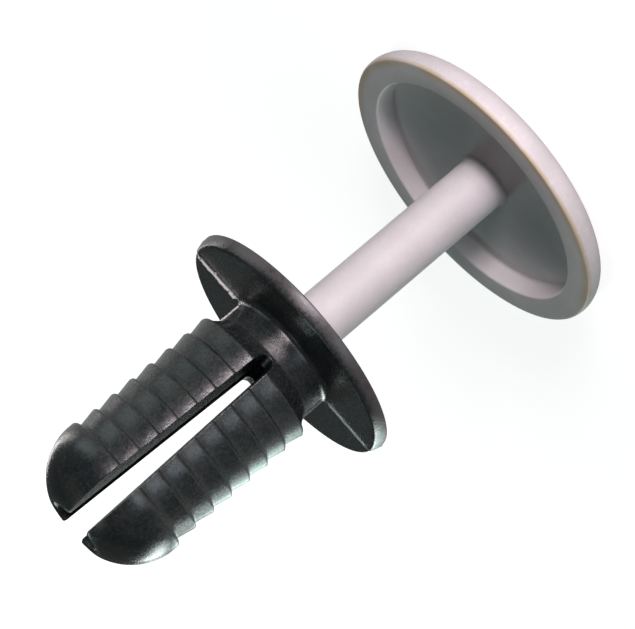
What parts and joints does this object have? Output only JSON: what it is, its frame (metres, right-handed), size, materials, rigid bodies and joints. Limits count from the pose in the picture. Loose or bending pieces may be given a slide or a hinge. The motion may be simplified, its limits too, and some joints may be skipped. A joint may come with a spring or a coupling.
{
  "type": "plastic push rivet",
  "caption": "Two-piece plastic push rivet: a flanged, barbed and split black grommet with a light grey pin whose recessed disc head nests over the flange when pushed home.",
  "frame": {"origin": "centre of the outer face of the pin's head, on which the rivet stands", "axes": "+Z along the rivet from the head to the leg tips; the slot between the legs runs through along Y, so one leg lies on each side of X = 0"},
  "size_m": [0.0186, 0.0186, 0.0316],
  "materials": {
    "pin_plastic": "light grey moulded plastic, satin",
    "grommet_plastic": "near-black moulded nylon, satin with a fine mould texture"
  },
  "bodies": {
    "pin": {"push_pin": "pin_plastic"},
    "grommet": {"grommet": "grommet_plastic"}
  },
  "joints": [
    {"name": "pin_push", "type": "slide", "parent": "pin", "child": "grommet", "axis": [0, 0, -1], "range_m": [0, 0.0149]}
  ]
}
